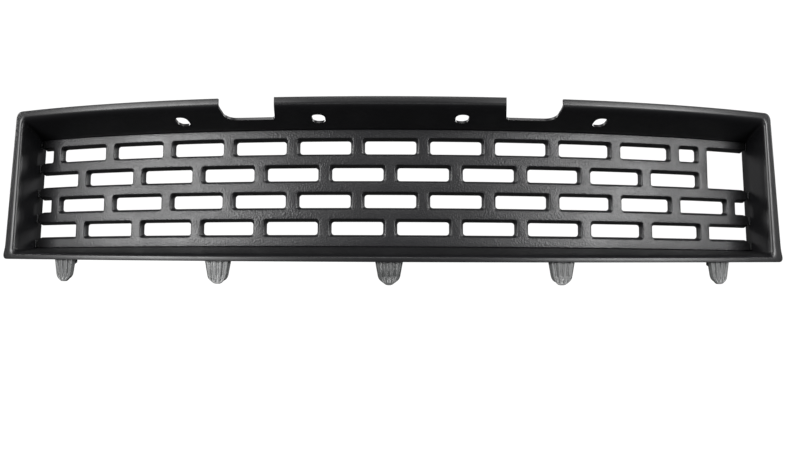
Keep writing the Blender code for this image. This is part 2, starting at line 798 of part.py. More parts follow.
def build_clips():
    """A plate beside each bar's end, with a barbed peg into the side wall and one into the bar."""
    outside = -WALL - GAP
    inside = END_SPACE + INSERT_WALL + 2 * GAP
    peg = (HALF_PEG, PEG_DEPTH / 2)
    barb = (peg[0] + BARB_OVERHANG, peg[1] + BARB_OVERHANG)
    plate = (HALF_BAR - CLIP_INSET, CLIP_DEPTH / 2)
    sections = [
        (outside - BARB_LENGTH, peg),
        (outside, barb),
        (outside, peg),
        (GAP, peg),
        (GAP, plate),
        (GAP + CLIP_PLATE, plate),
        (GAP + CLIP_PLATE, peg),
        (inside, peg),
        (inside, barb),
        (inside + BARB_LENGTH, peg),
    ]
    for side, number, z in clip_places():
        bm = bmesh.new()
        rings = []
        for inset, (half_height, half_depth) in sections:
            corners = ((-1, -1), (1, -1), (1, 1), (-1, 1))
            ring = [(clip_middle() + i * half_depth, z + j * half_height) for i, j in corners]
            rings.append([at_end(side, inset, depth, h) for depth, h in ring])
        loft(bm, rings)
        name = "left" if side == -1 else "right"
        finish = material(f"clip_grey_{name}_{number}", (0.22, 0.22, 0.23), 0.45)
        add_object(f"bar_clip_{name}_{number}", bm, finish)


# Screws


def screw_body():
    """A pan head screw along its own Y axis, its shank towards -Y and its head's seat at y = 0."""
    bm = bmesh.new()
    dome = arc((0, 0), (SCREW_HEAD_RADIUS, SCREW_HEAD_HEIGHT), 0, 90, DOME_STEPS)
    profile = [(0, -SCREW_LENGTH), (SCREW_RADIUS, SCREW_RADIUS - SCREW_LENGTH), (SCREW_RADIUS, 0)]
    profile += [*dome[:-1], (0, SCREW_HEAD_HEIGHT)]
    verts = [bm.verts.new((radius, y, 0)) for radius, y in profile]
    edges = [bm.edges.new(pair) for pair in zip(verts, verts[1:])]
    bmesh.ops.spin(
        bm, geom=verts + edges, cent=(0, 0, 0), axis=(0, 1, 0), angle=2 * math.pi,
        steps=HOLE_SIDES, use_merge=True,
    )
    bmesh.ops.remove_doubles(bm, verts=bm.verts, dist=1e-6)
    return bm


def build_screws():
    names = {1: "top", -1: "bottom"}
    for index, (edge, x) in enumerate(screw_places()):
        number = index % SCREWS_PER_EDGE + 1
        finish = material(f"screw_zinc_{names[edge]}_{number}", (0.55, 0.55, 0.53), 0.35, 1.0)
        screw = add_object(f"rear_screw_{names[edge]}_{number}", screw_body(), finish)
        screw.location = (x, ear_back(edge, x) + GAP, screw_height(edge))
        screw.data.shade_smooth()
        screw.data.set_sharp_from_angle(angle=math.radians(SHARP_ANGLE))


def clear_scene():
    for obj in list(bpy.data.objects):
        bpy.data.objects.remove(obj)


clear_scene()
build_surround()
build_insert()
build_tongues()
build_clips()
build_screws()
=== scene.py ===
# Front lower grille of a car: surround, insert, tongues, clips and screws, on a pale floor.
# The long pieces are made flat, then bent to one plan curve and one rearward lean.

import math

import bmesh
import bpy
from mathutils import Matrix, Vector


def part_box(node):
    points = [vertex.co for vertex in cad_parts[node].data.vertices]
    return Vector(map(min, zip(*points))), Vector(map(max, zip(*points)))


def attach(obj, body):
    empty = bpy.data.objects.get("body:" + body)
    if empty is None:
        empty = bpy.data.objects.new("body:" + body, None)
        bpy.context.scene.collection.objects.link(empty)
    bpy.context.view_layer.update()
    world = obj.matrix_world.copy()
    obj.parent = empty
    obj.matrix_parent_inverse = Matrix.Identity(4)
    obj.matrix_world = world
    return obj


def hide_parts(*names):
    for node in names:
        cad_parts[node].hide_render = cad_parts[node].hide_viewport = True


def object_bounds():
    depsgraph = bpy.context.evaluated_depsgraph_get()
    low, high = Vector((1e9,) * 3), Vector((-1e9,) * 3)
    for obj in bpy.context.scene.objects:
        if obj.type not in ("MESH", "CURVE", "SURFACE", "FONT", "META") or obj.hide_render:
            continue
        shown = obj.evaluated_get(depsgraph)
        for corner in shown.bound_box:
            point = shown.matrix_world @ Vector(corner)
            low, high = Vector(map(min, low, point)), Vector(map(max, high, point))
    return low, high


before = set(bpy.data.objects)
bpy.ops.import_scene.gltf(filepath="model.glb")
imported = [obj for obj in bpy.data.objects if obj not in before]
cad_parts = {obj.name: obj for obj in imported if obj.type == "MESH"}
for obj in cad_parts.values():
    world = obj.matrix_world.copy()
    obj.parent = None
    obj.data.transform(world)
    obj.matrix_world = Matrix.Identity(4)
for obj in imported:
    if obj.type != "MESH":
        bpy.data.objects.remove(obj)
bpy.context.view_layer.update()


# shared shape

planCurve = {
    "half": 0.500,  # half width at which the depth is given
    "depth": 0.112,  # how far the ends sit behind the middle
    "lateShare": 0.14,  # part of that depth that comes in near the ends
    "lean": 0.059,  # rearward for each metre up
    "datum": 0.0106216,  # depth that lies on y = 0 at z = 0
}


def sweepAt(x):
    u = x / planCurve["half"]
    late = planCurve["lateShare"]
    return planCurve["depth"] * ((1 - late) * u**2 + late * u**4)


def slopeAt(x):
    u = x / planCurve["half"]
    late = planCurve["lateShare"]
    return planCurve["depth"] * (2 * (1 - late) * u + 4 * late * u**3) / planCurve["half"]


def bend(x, depth, z):
    return Vector((x, depth - planCurve["datum"] + sweepAt(x) + planCurve["lean"] * z, z))


def bendMesh(bm):
    for vert in bm.verts:
        vert.co = bend(*vert.co)


def turnTo(x):
    return Matrix.Rotation(math.atan(slopeAt(x)), 4, "Z")


# materials

def hexColour(text):
    values = [int(text[i:i + 2], 16) / 255 for i in (1, 3, 5)]
    return tuple(v / 12.92 if v <= 0.04045 else ((v + 0.055) / 1.055) ** 2.4 for v in values) + (1.0,)


def addNode(tree, kind, settings=None, inputs=None):
    node = tree.nodes.new(kind)
    for name, value in (settings or {}).items():
        setattr(node, name, value)
    for name, value in (inputs or {}).items():
        if isinstance(value, bpy.types.NodeSocket):
            tree.links.new(value, node.inputs[name])
        else:
            node.inputs[name].default_value = value
    return node


def startMaterial(name, sockets):
    made = bpy.data.materials.new(name)
    made.use_nodes = True
    shader = made.node_tree.nodes["Principled BSDF"]
    for socket, value in sockets.items():
        shader.inputs[socket].default_value = value
    return made, made.node_tree, shader


def patternOf(tree, look):
    # pebble grain, then a soft mottle over it, then slow clouds across the moulding
    place = addNode(tree, "ShaderNodeTexCoord").outputs["Object"]
    grain = addNode(tree, "ShaderNodeTexVoronoi", {"feature": "SMOOTH_F1"}, {
        "Vector": place, "Scale": 1000 / look["grainMm"], "Smoothness": 0.6})
    mottle = addNode(tree, "ShaderNodeTexNoise", None, {
        "Vector": place, "Scale": 1000 / look["mottleMm"], "Detail": 5.0, "Roughness": 0.62})
    cloud = addNode(tree, "ShaderNodeTexNoise", None, {
        "Vector": place, "Scale": 1000 / look["cloudMm"], "Detail": 2.0})
    return grain.outputs["Distance"], mottle.outputs["Fac"], cloud.outputs["Fac"]


def finishFrom(tree, shader, look, grain, mottle, cloud):
    both = addNode(tree, "ShaderNodeMath", {"operation": "MULTIPLY_ADD"}, {0: mottle, 1: 0.7, 2: cloud})
    share = addNode(tree, "ShaderNodeMapRange", None, {
        "Value": both.outputs[0], "From Min": 0.6, "From Max": 1.1, "To Min": 0.0, "To Max": 1.0})
    tint = addNode(tree, "ShaderNodeMix", {"data_type": "RGBA"}, {0: share.outputs["Result"]})
    tint.inputs[6].default_value = hexColour(look["dark"])
    tint.inputs[7].default_value = hexColour(look["light"])
    tree.links.new(tint.outputs[2], shader.inputs["Base Color"])
    gloss = addNode(tree, "ShaderNodeMapRange", None, {
        "Value": both.outputs[0], "From Min": 0.6, "From Max": 1.1,
        "To Min": look["roughness"] + look["uneven"], "To Max": look["roughness"] - look["uneven"]})
    tree.links.new(gloss.outputs["Result"], shader.inputs["Roughness"])
    height = addNode(tree, "ShaderNodeMath", {"operation": "MULTIPLY_ADD"}, {0: mottle, 1: look["wavy"], 2: grain})
    bump = addNode(tree, "ShaderNodeBump", None, {
        "Height": height.outputs[0], "Strength": look["bump"], "Distance": look["grainMm"] * 0.0003})
    tree.links.new(bump.outputs["Normal"], shader.inputs["Normal"])


def plasticOf(name, look):
    made, tree, shader = startMaterial(name, {"IOR": look["ior"], "Specular IOR Level": look["specular"]})
    finishFrom(tree, shader, look, *patternOf(tree, look))
    return made


# black polypropylene, injection moulded with a fine satin texture: deep black, soft wide reflections
surroundLook = {
    "dark": "#08080a", "light": "#121214", "ior": 1.49, "specular": 0.5, "roughness": 0.40, "uneven": 0.05,
    "grainMm": 0.9, "mottleMm": 9.0, "cloudMm": 120.0, "bump": 0.10, "wavy": 0.3,
}
# charcoal polypropylene with a pebble grain from the mould, drawn coarser than the real 0.4 mm so that it shows
insertLook = {
    "dark": "#0d0d0f", "light": "#1c1c1e", "ior": 1.49, "specular": 0.44, "roughness": 0.40, "uneven": 0.07,
    "grainMm": 2.0, "mottleMm": 5.0, "cloudMm": 80.0, "bump": 0.55, "wavy": 0.0,
}
# grey acetal, polished mould: lighter, slippery and shinier than its neighbours
tongueLook = {
    "dark": "#3c3d3d", "light": "#4e4f4f", "ior": 1.48, "specular": 0.55, "roughness": 0.30, "uneven": 0.05,
    "grainMm": 0.8, "mottleMm": 4.0, "cloudMm": 30.0, "bump": 0.08, "wavy": 0.5,
}
# grey nylon, plain moulded: slightly waxy
clipLook = {
    "dark": "#4a4b4c", "light": "#5c5d5e", "ior": 1.53, "specular": 0.5, "roughness": 0.42, "uneven": 0.06,
    "grainMm": 0.6, "mottleMm": 3.0, "cloudMm": 20.0, "bump": 0.08, "wavy": 0.5,
}
# mild steel, cold headed then zinc plated: pale metal with a faint bluish and straw mottle
screwLook = {
    "dark": "#a3a7a8", "light": "#c4c2b4", "roughness": 0.32, "uneven": 0.08,
    "grainMm": 0.4, "mottleMm": 2.0, "cloudMm": 8.0, "bump": 0.06, "wavy": 0.5,
}

satinBlack = plasticOf("satinBlackPolypropylene", surroundLook)
grainedCharcoal = plasticOf("grainedCharcoalPolypropylene", insertLook)
polishedAcetal = plasticOf("polishedGreyAcetal", tongueLook)
greyNylon = plasticOf("mouldedGreyNylon", clipLook)
zincSteel, zincTree, zincShader = startMaterial("zincPlatedSteel", {"Metallic": 1.0})
finishFrom(zincTree, zincShader, screwLook, *patternOf(zincTree, screwLook))
print("materials made")


# making and placing

def boxInto(bm, low, high, matrix=None):
    # a block between two corners, moved and turned by the matrix
    low, high = Vector(low), Vector(high)
    shape = Matrix.Translation((low + high) / 2) @ Matrix.Diagonal((*(high - low), 1))
    made = bmesh.ops.create_cube(bm, size=1, matrix=(matrix or Matrix.Identity(4)) @ shape)
    return made["verts"]


def roundEdges(bm, edges, width, segments=3):
    return bmesh.ops.bevel(
        bm, geom=list(edges), offset=width, offset_type="OFFSET", segments=segments, profile=0.5,
        affect="EDGES", material=-1, clamp_overlap=True)


def edgesOf(verts):
    return list(dict.fromkeys(edge for vert in verts for edge in vert.link_edges))  # always in the same order


def asPiece(name, bm, material, smoothAngle=35):
    mesh = bpy.data.meshes.new(name)
    bm.to_mesh(mesh)
    bm.free()
    mesh.materials.append(material)
    mesh.shade_smooth()
    mesh.set_sharp_from_angle(angle=math.radians(smoothAngle))
    piece = bpy.data.objects.new(name, mesh)
    bpy.context.scene.collection.objects.link(piece)
    return piece


def joinShape(piece, bm, operation):
    # joins a body to a piece, or cuts it away, and keeps the result as the piece's own mesh
    mesh = bpy.data.meshes.new("shapeTool")
    bm.normal_update()
    bmesh.ops.recalc_face_normals(bm, faces=bm.faces)
    bm.to_mesh(mesh)
    bm.free()
    tool = bpy.data.objects.new("shapeTool", mesh)
    bpy.context.scene.collection.objects.link(tool)
    change = piece.modifiers.new("shape", "BOOLEAN")
    change.operation = operation
    change.object = tool
    change.solver = "EXACT"
    applyModifiers(piece)
    bpy.data.objects.remove(tool)


def applyModifiers(piece):
    graph = bpy.context.evaluated_depsgraph_get()
    shaped = bpy.data.meshes.new_from_object(piece.evaluated_get(graph))
    old = piece.data
    piece.modifiers.clear()
    piece.data = shaped
    bpy.data.meshes.remove(old)


def thicken(piece, wall):
    solid = piece.modifiers.new("wall", "SOLIDIFY")
    solid.thickness = wall
    solid.offset = -1
    solid.use_even_offset = True
    applyModifiers(piece)


def softenEdges(piece, width, angle, segments=2):
    soft = piece.modifiers.new("soften", "BEVEL")
    soft.width = width
    soft.segments = segments
    soft.limit_method = "ANGLE"
    soft.angle_limit = math.radians(angle)
    soft.use_clamp_overlap = True
    applyModifiers(piece)


def finishPiece(piece, material, node, smoothAngle=35):
    piece.data.materials.clear()
    piece.data.materials.append(material)
    piece.data.shade_smooth()
    piece.data.set_sharp_from_angle(angle=math.radians(smoothAngle))
    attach(piece, "root")
    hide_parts(node)


def spread(count, outermost):
    return [outermost * (2 * i / (count - 1) - 1) for i in range(count)]


# surround

surroundShape = {
    "wall": 0.003,
    "back": 0.0828,  # depth of the sleeve's rear edge
    "deep": 0.060,  # depth where the flared walls meet the straight sleeve
    "bendLength": 0.013,  # of wall that the rounded bend into the lip takes
    "bendSteps": 9,
    "lipSetback": 0.001,
    "longCuts": 150,
    "sideCuts": 24,
    "cornerCuts": 6,
    "edgeRound": 0.0011,
    "cutRound": 0.0005,
    "footHeight": 0.022,
}
# the loops that the skin is drawn through; rise lifts the lower edge's ends, flare spreads its corners
sleeveLoop = {
    "top": 0.1993, "bottom": 0.0432, "halfTop": 0.5085, "halfBottom": 0.5118,
    "corner": 0.002, "rise": 0, "flare": 0,
}
mouthLoop = {
    "top": 0.2213, "bottom": 0.031, "halfTop": 0.5135, "halfBottom": 0.5185,
    "corner": 0.007, "rise": 0.0045, "flare": 0,
}
lipLoop = {
    "top": 0.2328, "bottom": 0.0224, "halfTop": 0.5248, "halfBottom": 0.5352,
    "corner": 0.009, "rise": 0.0045, "flare": 0.0045,
}


def loopPoint(loop, core, normal):
    # core is -1 to 1 between the corner centres, normal points out of a corner
    radius = loop["corner"]
    middle = (loop["top"] + loop["bottom"]) / 2
    z = middle + core.y * ((loop["top"] - loop["bottom"]) / 2 - radius) + normal.y * radius
    share = (z - loop["bottom"]) / (loop["top"] - loop["bottom"])
    half = loop["halfBottom"] + share * (loop["halfTop"] - loop["halfBottom"])
    x = core.x * (half - radius) + normal.x * radius
    foot = max(0.0, 1 - (z - loop["bottom"]) / surroundShape["footHeight"])
    x *= 1 + loop["flare"] / loop["halfBottom"] * foot**2
    z += loop["rise"] * (1 - share) * (x / loop["halfBottom"]) ** 2
    return Vector((x, z))


def startLoop(bm):
    # a rounded rectangle whose points remember their place between and round the corners
    size, radius = Vector((4.0, 1.0)), 0.1
    core = bm.verts.layers.float_vector.new("core")
    normal = bm.verts.layers.float_vector.new("normal")
    bmesh.ops.create_grid(bm, x_segments=1, y_segments=1, size=1, matrix=Matrix.Diagonal((size.x, size.y, 1, 1)))
    bmesh.ops.bevel(
        bm, geom=list(bm.verts), offset=radius, segments=surroundShape["cornerCuts"], profile=0.5,
        affect="VERTICES", material=-1)
    for edge in list(bm.edges):
        length = edge.calc_length()
        if length > radius * 2:
            cuts = surroundShape["longCuts"] if length > size.x else surroundShape["sideCuts"]
            bmesh.ops.subdivide_edges(bm, edges=[edge], cuts=cuts)
    bmesh.ops.delete(bm, geom=list(bm.faces), context="FACES_ONLY")
    reach = size - Vector((radius, radius))
    for vert in bm.verts:
        inner = Vector((max(-reach.x, min(reach.x, vert.co.x)), max(-reach.y, min(reach.y, vert.co.y))))
        vert[core] = (inner.x / reach.x, inner.y / reach.y, 0)
        away = Vector((vert.co.x, vert.co.y)) - inner
        vert[normal] = (away.x / radius, away.y / radius, 0)
    return core, normal


def surroundSections():
    # each step blends the three loops and gives a depth; the bend follows a smooth curve
    shape = surroundShape
    wallShare = 1 - shape["bendLength"] / shape["deep"]
    steps = [
        ((1, 0, 0), shape["back"]), ((1, 0, 0), shape["deep"] + 0.0012), ((0.985, 0.015, 0), shape["deep"] - 0.001),
    ]
    steps += [((1 - t, t, 0), shape["deep"] * (1 - t)) for t in (0.15, 0.35, 0.55, 0.75)]
    for i in range(shape["bendSteps"] + 1):
        t = i / shape["bendSteps"]
        start, root, end = (1 - t) ** 2, 2 * t * (1 - t), t**2
        blend = (start * (1 - wallShare), start * wallShare + root + end * 0.5, end * 0.5)
        steps.append((blend, start * shape["bendLength"] + end * shape["lipSetback"] * 0.5))
    steps.append(((0, 0.25, 0.75), shape["lipSetback"] * 0.75))
    steps.append(((0, 0, 1), shape["lipSetback"]))
    return steps


def surroundSkin():
    bm = bmesh.new()
    core, normal = startLoop(bm)
    edges = list(bm.edges)
    verts = list(bm.verts)
    for number, (blend, depth) in enumerate(surroundSections()):
        if number:
            made = bmesh.ops.extrude_edge_only(bm, edges=edges)["geom"]
            edges = [item for item in made if isinstance(item, bmesh.types.BMEdge)]
            verts = [item for item in made if isinstance(item, bmesh.types.BMVert)]
            edges = [edge for edge in edges if edge.verts[0] in set(verts) and edge.verts[1] in set(verts)]
        for vert in verts:
            points = [loopPoint(loop, vert[core], vert[normal]) for loop in (sleeveLoop, mouthLoop, lipLoop)]
            spot = sum((point * share for point, share in zip(points, blend)), Vector((0, 0)))
            vert.co = (spot.x, depth, spot.y)
    bmesh.ops.recalc_face_normals(bm, faces=bm.faces)
    lowest = min(bm.faces, key=lambda face: face.calc_center_median().z)
    if lowest.normal.y > 0:
        bmesh.ops.reverse_faces(bm, faces=bm.faces)
    bendMesh(bm)
    return bm


notchShape = {
    "x": 0.1848, "width": 0.068, "depth": 0.033, "inner": 0.004, "outer": 0.017,
    "innerTaper": 0.003, "outerTaper": 0.005,
}
slotShape = {
    "inner": 0.0934, "outer": 0.277, "depth": 0.0333, "length": 0.0175, "width": 0.0216, "corner": 0.0075,
    "seatLength": 0.036, "seatWidth": 0.034, "seatRaise": 0.0004, "seatCorner": 0.003,
}


def wallTop(depth):
    rise = mouthLoop["top"] - sleeveLoop["top"]
    return sleeveLoop["top"] + rise * (1 - depth / surroundShape["deep"])


def slotFrames():
    # along the grille, down the top wall, and out of it, at each slot's middle
    frames = []
    for side in (-1, 1):
        for x in (side * slotShape["inner"], side * slotShape["outer"]):
            along = Vector((1, slopeAt(x), 0)).normalized()
            front, back = bend(x, 0, wallTop(0)), bend(x, surroundShape["deep"], wallTop(surroundShape["deep"]))
            outward = along.cross(back - front).normalized()
            axes = Matrix((along, outward.cross(along), outward)).transposed().to_4x4()
            middle = bend(x, slotShape["depth"], wallTop(slotShape["depth"]))
            frames.append(Matrix.Translation(middle) @ axes)
    return frames


def notchCutter(side):
    bm = bmesh.new()
    shape = notchShape
    low = (shape["x"] - shape["width"] / 2, -0.006, sleeveLoop["top"] + 0.001)
    high = (shape["x"] + shape["width"] / 2, shape["depth"], lipLoop["top"] + 0.01)
    boxInto(bm, low, high)
    upright = [edge for edge in bm.edges if abs(edge.verts[0].co.z - edge.verts[1].co.z) > 0.01]
    floor = [edge for edge in upright if edge.verts[0].co.y > 0]
    middle = shape["x"]
    roundEdges(bm, [edge for edge in floor if edge.verts[0].co.x < middle], shape["inner"], 6)
    floor = [
        edge for edge in bm.edges
        if abs(edge.verts[0].co.z - edge.verts[1].co.z) > 0.01 and edge.verts[0].co.y > shape["depth"] - 1e-5
        and edge.verts[0].co.x > high[0] - 1e-5]
    roundEdges(bm, floor, shape["outer"], 10)
    for vert in bm.verts:
        if vert.co.y < 0:
            vert.co.x += shape["outerTaper"] if vert.co.x > middle else -shape["innerTaper"]
        vert.co.x *= side
    bendMesh(bm)
    return bm


def slotCutter(bm, place):
    half, depth = slotShape["length"] / 2, slotShape["width"] / 2
    verts = boxInto(bm, (-half, -depth, -surroundShape["wall"]), (half, depth, surroundShape["wall"] * 2.5), place)
    inward = place.to_3x3().inverted()
    upright = [
        edge for edge in edgesOf(verts)
        if abs((inward @ (edge.verts[0].co - edge.verts[1].co)).z) > surroundShape["wall"]]
    roundEdges(bm, upright, slotShape["corner"], 8)


tongueShape = {
    "count": 5,
    "outermost": 0.4384,
    "length": 0.0287,
    "width": 0.035,
    "tipWidth": 0.024,
    "tipRound": 0.40,  # last part of the length that is rounded off
    "front": 0.0047,
    "flutes": 3,
    "fluteDeep": 0.0018,
    "fluteFade": 0.30,  # last part of the length over which the flutes run out
    "plate": 0.0028,
    "tenonWidth": 0.022,
    "tenonDeep": 0.010,
    "tenonHigh": 0.0045,
    "socketWall": 0.002,
    "socketFront": 0.0015,
    "socketLow": 0.0018,
    "socketTop": 0.0062,
}
screwShape = {
    "perEdge": 4, "outermost": 0.4035, "length": 0.013, "radius": 0.002, "head": 0.0043, "headHigh": 0.0028,
    "bossHigh": 0.012, "bossLong": 0.010, "bossSink": 0.0018,
    "earWidth": 0.015, "earThick": 0.0035, "earCorner": 0.002,
    "recess": 0.0022, "recessWide": 0.00042, "recessFloor": 0.0012, "recessTaper": 0.55,
}
fitGap = 0.0003


def tongueFrame(x):
    middle = bend(x, 0, lipLoop["bottom"])
    middle.z += lipLoop["rise"] * (x / lipLoop["halfBottom"]) ** 2
    return Matrix.Translation(middle) @ turnTo(x)


def screwSpots():
    # (edge, x, rear face of the ear, height) for the top edge, then the bottom edge
    spots = []
    reach = fitGap + surroundShape["wall"] + screwShape["bossHigh"] / 2
    for edge, rim in ((1, insertShape["top"]), (-1, insertShape["bottom"])):
        for x in spread(screwShape["perEdge"], screwShape["outermost"]):
            back = bend(x, insertShape["front"] + insertShape["deep"], rim).y
            spots.append((edge, x, back, rim + edge * reach))
    return spots


insertShape = {
    "rows": 4,
    "pitchX": 0.087,
    "pitchZ": 0.036,
    "openWidth": 0.074,
    "openHigh": 0.023,
    "lowestRow": 0.068,
    "top": 0.199,
    "bottom": 0.0435,
    "front": 0.060,  # depth of the bars' faces
    "deep": 0.014,
    "wall": 0.0024,
    "draft": 0.0029,  # the openings close in by this towards the back
    "corner": 0.0036,
    "rim": 0.0020,  # rounding along every front edge
    "cutRound": 0.0004,  # and along the sharp edges left at the back
    "borderTop": 0.0115,
    "borderBottom": 0.013,
    "endSpace": 0.004,
    "leastOpening": 0.008,
    "windowRows": 2,
    "windowStart": 0.4415,
    "bendStep": 0.0145,  # spacing of the cuts that let the bars bend
}


def surroundLands():
    # seats round the slots, sockets behind the lower lip, bosses for the screws
    bm = bmesh.new()
    for place in slotFrames():
        half, depth = slotShape["seatLength"] / 2, slotShape["seatWidth"] / 2
        wall = surroundShape["wall"]
        verts = boxInto(bm, (-half, -depth, wall / 2), (half, depth, wall + slotShape["seatRaise"]), place)
        inward = place.to_3x3().inverted()
        upright = [
            edge for edge in edgesOf(verts)
            if abs((inward @ (edge.verts[0].co - edge.verts[1].co)).z) > 0.001]
        roundEdges(bm, upright, slotShape["seatCorner"], 4)
    for x in spread(tongueShape["count"], tongueShape["outermost"]):
        start = tongueShape["front"] + tongueShape["fluteDeep"] + tongueShape["plate"]
        back = start + tongueShape["tenonDeep"] + fitGap + tongueShape["socketWall"]
        half = tongueShape["tenonWidth"] / 2 + fitGap + tongueShape["socketWall"]
        low = (-half, tongueShape["socketFront"], tongueShape["socketLow"])
        boxInto(bm, low, (half, back, tongueShape["socketTop"]), tongueFrame(x))
    for edge, x, back, z in screwSpots():
        front = back - screwShape["earThick"] - fitGap
        inner = (sleeveLoop["top"] if edge == 1 else sleeveLoop["bottom"]) + edge * screwShape["bossSink"]
        outer = z + edge * screwShape["bossHigh"] / 2
        low, high = sorted((inner, outer))
        half = screwShape["earWidth"] / 2
        boxInto(bm, (x - half, front - screwShape["bossLong"], low), (x + half, front, high))
    return bm


def makeSurround():
    piece = asPiece("surroundMoulding", surroundSkin(), satinBlack)
    thicken(piece, surroundShape["wall"])
    softenEdges(piece, surroundShape["edgeRound"], 60, 3)
    joinShape(piece, surroundLands(), "UNION")
    for side in (-1, 1):
        joinShape(piece, notchCutter(side), "DIFFERENCE")
    slots = bmesh.new()
    for place in slotFrames():
        slotCutter(slots, place)
    joinShape(piece, slots, "DIFFERENCE")
    softenEdges(piece, surroundShape["cutRound"], 50, 2)
    finishPiece(piece, satinBlack, "surround")
    return piece


surround = makeSurround()
print("surround made:", len(surround.data.polygons), "faces")


# insert

def insertEnd(z):
    share = (z - sleeveLoop["bottom"]) / (sleeveLoop["top"] - sleeveLoop["bottom"])
    side = sleeveLoop["halfBottom"] + share * (sleeveLoop["halfTop"] - sleeveLoop["halfBottom"])
    return side - insertShape["endSpace"]


def insertOpenings():
    # (left, right, low, high) of each opening; an end opening runs out to the insert's end
    shape = insertShape
    limit = insertEnd(shape["top"]) - shape["leastOpening"]
    end = insertEnd(shape["bottom"]) + 0.01
    web = shape["pitchX"] - shape["openWidth"]
    openings = []
    for row in range(shape["rows"]):
        z = shape["lowestRow"] + row * shape["pitchZ"]
        offset = 0 if row % 2 else 0.5
        beside = row >= shape["rows"] - shape["windowRows"]
        for step in range(-7, 8):
            middle = (step + offset) * shape["pitchX"]
            left, right = middle - shape["openWidth"] / 2, middle + shape["openWidth"] / 2
            if beside:
                right = min(right, shape["windowStart"] - web)
            if right - left < shape["leastOpening"] or left > limit or right < -limit:
                continue
            left = -end if left < -limit else left
            right = end if right > limit else right
            openings.append((left, right, z - shape["openHigh"] / 2, z + shape["openHigh"] / 2))
    low = shape["lowestRow"] + (shape["rows"] - shape["windowRows"]) * shape["pitchZ"] - shape["openHigh"] / 2
    high = shape["lowestRow"] + (shape["rows"] - 1) * shape["pitchZ"] + shape["openHigh"] / 2
    openings.append((shape["windowStart"], end, low, high))
    return openings


def insertSkin():
    shape = insertShape
    openings = insertOpenings()
    bm = bmesh.new()
    half, middle = 0.5, (shape["top"] + shape["bottom"]) / 2
    flat = Matrix.Translation((0, shape["front"], middle)) @ Matrix.Rotation(math.pi / 2, 4, "X")
    flat = flat @ Matrix.Diagonal((half, (shape["top"] - shape["bottom"]) / 2, 1, 1))
    bmesh.ops.create_grid(bm, x_segments=1, y_segments=1, size=1, matrix=flat)
    lines = {round(x, 5) for left, right, low, high in openings for x in (left, right) if abs(x) < half}
    cut = -half + shape["bendStep"]
    while cut < half:
        if min(abs(cut - line) for line in lines) > shape["corner"] * 1.6:
            lines.add(round(cut, 5))
        cut += shape["bendStep"]
    for x in sorted(lines):
        whole = list(bm.verts) + list(bm.edges) + list(bm.faces)
        bmesh.ops.bisect_plane(bm, geom=whole, dist=1e-6, plane_co=(x, 0, 0), plane_no=(1, 0, 0))
    for z in sorted({round(z, 5) for opening in openings for z in opening[2:]}):
        whole = list(bm.verts) + list(bm.edges) + list(bm.faces)
        bmesh.ops.bisect_plane(bm, geom=whole, dist=1e-6, plane_co=(0, 0, z), plane_no=(0, 0, 1))

    def openingAt(point):
        for left, right, low, high in openings:
            if left < point.x < right and low < point.z < high:
                return left, right, low, high
        return None

    holes = [face for face in bm.faces if openingAt(face.calc_center_median())]
    bmesh.ops.delete(bm, geom=holes, context="FACES")
    for vert in bm.verts:
        if abs(abs(vert.co.x) - half) < 1e-6:
            vert.co.x = math.copysign(insertEnd(vert.co.z), vert.co.x)

    edges = [edge for edge in bm.edges if edge.is_boundary]
    made = bmesh.ops.extrude_edge_only(bm, edges=edges)["geom"]
    corners = []
    tiny = 1e-5
    for vert in [item for item in made if isinstance(item, bmesh.types.BMVert)]:
        run = next(edge for edge in vert.link_edges if (edge.other_vert(vert).co - vert.co).length < 1e-9)
        inwards = upwards = 0
        for left, right, low, high in openings:
            if left - tiny < vert.co.x < right + tiny and low - tiny < vert.co.z < high + tiny:
                inwards = 1 if abs(vert.co.x - left) < tiny else -1 if abs(vert.co.x - right) < tiny else 0
                upwards = 1 if abs(vert.co.z - low) < tiny else -1 if abs(vert.co.z - high) < tiny else 0
        vert.co += Vector((inwards * shape["draft"], shape["deep"], upwards * shape["draft"]))
        atEnd = abs(abs(vert.co.x) - insertEnd(vert.co.z)) < 0.0005
        atRim = upwards or vert.co.z in (shape["top"], shape["bottom"])
        if (inwards and upwards) or (atEnd and atRim):
            corners.append(run)
    roundEdges(bm, corners, shape["corner"], 5)
    bmesh.ops.recalc_face_normals(bm, faces=bm.faces)
    if max(bm.faces, key=lambda face: face.calc_area()).normal.y > 0:
        bmesh.ops.reverse_faces(bm, faces=bm.faces)
    rims = []
    for edge in bm.edges:
        if len(edge.link_faces) == 2:
            forward = [face.normal.y < -0.95 for face in edge.link_faces]
            if forward[0] != forward[1]:
                rims.append(edge)
    roundEdges(bm, rims, shape["rim"], 4)
    bendMesh(bm)
    return bm


def insertEars():
    bm = bmesh.new()
    shape = insertShape
    for edge, x, back, z in screwSpots():
        border = shape["borderTop"] if edge == 1 else shape["borderBottom"]
        rim = shape["top"] if edge == 1 else shape["bottom"]
        low, high = sorted((rim - edge * border, z + edge * screwShape["bossHigh"] / 2))
        half = screwShape["earWidth"] / 2
        verts = boxInto(bm, (x - half, back - screwShape["earThick"], low), (x + half, back, high))
        sides = [edge for edge in edgesOf(verts) if abs(edge.verts[0].co.y - edge.verts[1].co.y) > 0.001]
        roundEdges(bm, sides, screwShape["earCorner"], 4)
    return bm


def makeInsert():
    piece = asPiece("grilleInsertMoulding", insertSkin(), grainedCharcoal)
    thicken(piece, insertShape["wall"])
    joinShape(piece, insertEars(), "UNION")
    softenEdges(piece, insertShape["cutRound"], 55, 2)
    finishPiece(piece, grainedCharcoal, "grille_insert")
    return piece


insert = makeInsert()
print("insert made:", len(insert.data.polygons), "faces")


# tongues

